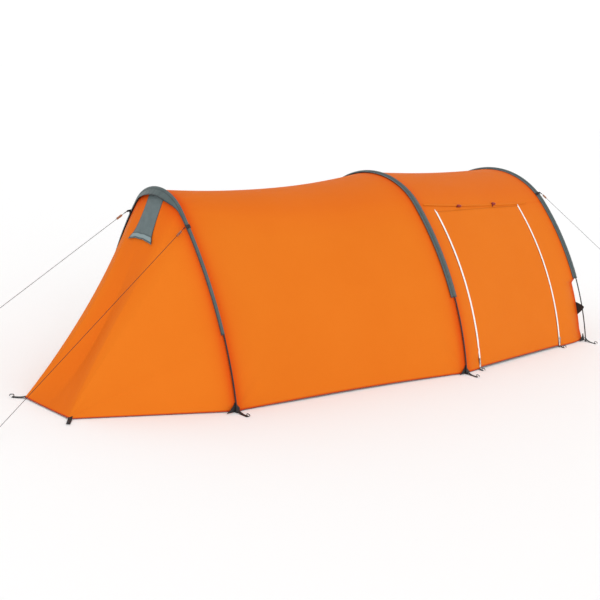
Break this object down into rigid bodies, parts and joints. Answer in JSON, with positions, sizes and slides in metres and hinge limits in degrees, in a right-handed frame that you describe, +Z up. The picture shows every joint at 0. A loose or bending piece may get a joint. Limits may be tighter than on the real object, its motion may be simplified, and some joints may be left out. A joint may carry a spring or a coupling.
{
  "type": "tunnel tent",
  "caption": "Tunnel tent with arched hoop poles in sleeves, a zipped side door, a low sloping tail with a vent hood, an inner sleeping room and guy lines.",
  "frame": {"origin": "on the ground, at the middle of the tent's own box without its guy lines", "axes": "+X toward the front hoop, +Z up, the side door on the -Y side"},
  "size_m": [5.6818, 2.1004, 1.1056],
  "materials": {
    "canopy": "ripstop polyester, satin",
    "sleeve": "coated polyester, matt",
    "pole": "glass fibre, satin",
    "ferrule": "plated steel",
    "webbing": "woven polyester webbing",
    "zip": "nylon coil",
    "slider": "zinc casting, painted",
    "peg": "steel wire, plated",
    "ring": "steel wire, plated",
    "plastic": "moulded, matt",
    "toggle": "moulded, dark red-brown",
    "cord": "braided polyester cord",
    "inner": "breathable polyester",
    "floor": "woven polyethylene sheet",
    "mesh": "no-see-um mesh",
    "elastic": "elastic cord"
  },
  "bodies": {
    "tent": {"rear_pole_rods": "pole", "middle_pole_rods": "pole", "front_pole_rods": "pole", "pole_ferrules": "ferrule", "pole_foot_plugs": "plastic", "pole_shock_cords": "elastic", "rear_sleeve": "sleeve", "middle_sleeve": "sleeve", "front_sleeve": "sleeve", "long_bay_near_side": "canopy", "long_bay_roof": "canopy", "long_bay_far_side": "canopy", "short_bay_roof": "canopy", "short_bay_far_side": "canopy", "side_wall_rear_strip": "canopy", "side_wall_front_strip": "canopy", "side_door_header": "canopy", "tail_near_gore": "canopy", "tail_far_gore": "canopy", "tail_centre_gore": "canopy", "vent_mesh": "mesh", "side_zip_fixed_tapes": "zip", "door_toggles": "toggle", "front_wall_near": "canopy", "front_wall_far": "canopy", "front_wall_head": "canopy", "front_wall_sill": "canopy", "front_zip_fixed_tapes": "zip", "pole_clips": "plastic", "foot_rings": "ring", "foot_straps": "webbing", "hem_straps": "webbing", "ground_pegs": "peg", "rear_near_guy_line": "cord", "rear_far_guy_line": "cord", "front_near_guy_line": "cord", "guy_tabs": "webbing", "guy_pegs": "peg", "inner_near_wall": "inner", "inner_roof": "inner", "inner_far_wall": "inner", "inner_floor": "floor", "inner_rear_wall": "inner", "inner_front_wall": "inner", "inner_hangers": "elastic"},
    "side_door": {"side_door": "canopy", "side_zip_door_tapes": "zip"},
    "side_zip_slider_rear": {"side_zip_slider_rear": "slider"},
    "side_zip_slider_front": {"side_zip_slider_front": "slider"},
    "front_door": {"front_door": "canopy", "front_zip_door_tapes": "zip"},
    "front_zip_slider_near": {"front_zip_slider_near": "slider"},
    "front_zip_slider_far": {"front_zip_slider_far": "slider"},
    "inner_door": {"inner_door": "inner"},
    "vent_hood": {"vent_hood": "sleeve", "vent_hood_stiffener": "plastic"},
    "rear_near_runner": {"rear_near_runner": "plastic"},
    "rear_far_runner": {"rear_far_runner": "plastic"},
    "front_near_runner": {"front_near_runner": "plastic"}
  },
  "joints": [
    {"name": "side_door_hinge", "type": "hinge", "parent": "tent", "child": "side_door", "pos_m": [1.13648, -0.39404, 0.9053], "axis": [-1, 0, 0], "range_deg": [0, 100]},
    {"name": "side_zip_rear_travel", "type": "hinge", "parent": "tent", "child": "side_zip_slider_rear", "pos_m": [0.63648, 1.1284, -0.45368], "axis": [-1, 0, 0], "range_deg": [0, 26.24]},
    {"name": "side_zip_front_travel", "type": "hinge", "parent": "tent", "child": "side_zip_slider_front", "pos_m": [1.63648, 1.05141, -0.44274], "axis": [-1, 0, 0], "range_deg": [0, 27.02]},
    {"name": "front_door_hinge", "type": "hinge", "parent": "tent", "child": "front_door", "pos_m": [1.98638, 0, 0.8197], "axis": [0, -1, 0], "range_deg": [0, 100]},
    {"name": "front_zip_near_travel", "type": "slide", "parent": "tent", "child": "front_zip_slider_near", "axis": [0, 0, 1], "range_m": [0, 0.68]},
    {"name": "front_zip_far_travel", "type": "slide", "parent": "tent", "child": "front_zip_slider_far", "axis": [0, 0, 1], "range_m": [0, 0.68]},
    {"name": "inner_door_hinge", "type": "hinge", "parent": "tent", "child": "inner_door", "pos_m": [0.41141, -0.3397, 0.09], "axis": [0, 0, -1], "range_deg": [0, 95]},
    {"name": "vent_hood_hinge", "type": "hinge", "parent": "tent", "child": "vent_hood", "pos_m": [-1.35417, 0, 1.01771], "axis": [0, 1, 0], "range_deg": [0, 25]},
    {"name": "rear_near_slide", "type": "slide", "parent": "tent", "child": "rear_near_runner", "axis": [-0.7582, 0.0323, -0.6513], "range_m": [0, 0.3]},
    {"name": "rear_far_slide", "type": "slide", "parent": "tent", "child": "rear_far_runner", "axis": [-0.7401, 0.2635, -0.6188], "range_m": [0, 0.3]},
    {"name": "front_near_slide", "type": "slide", "parent": "tent", "child": "front_near_runner", "axis": [0.7088, -0.4284, -0.5604], "range_m": [0, 0.3]}
  ]
}
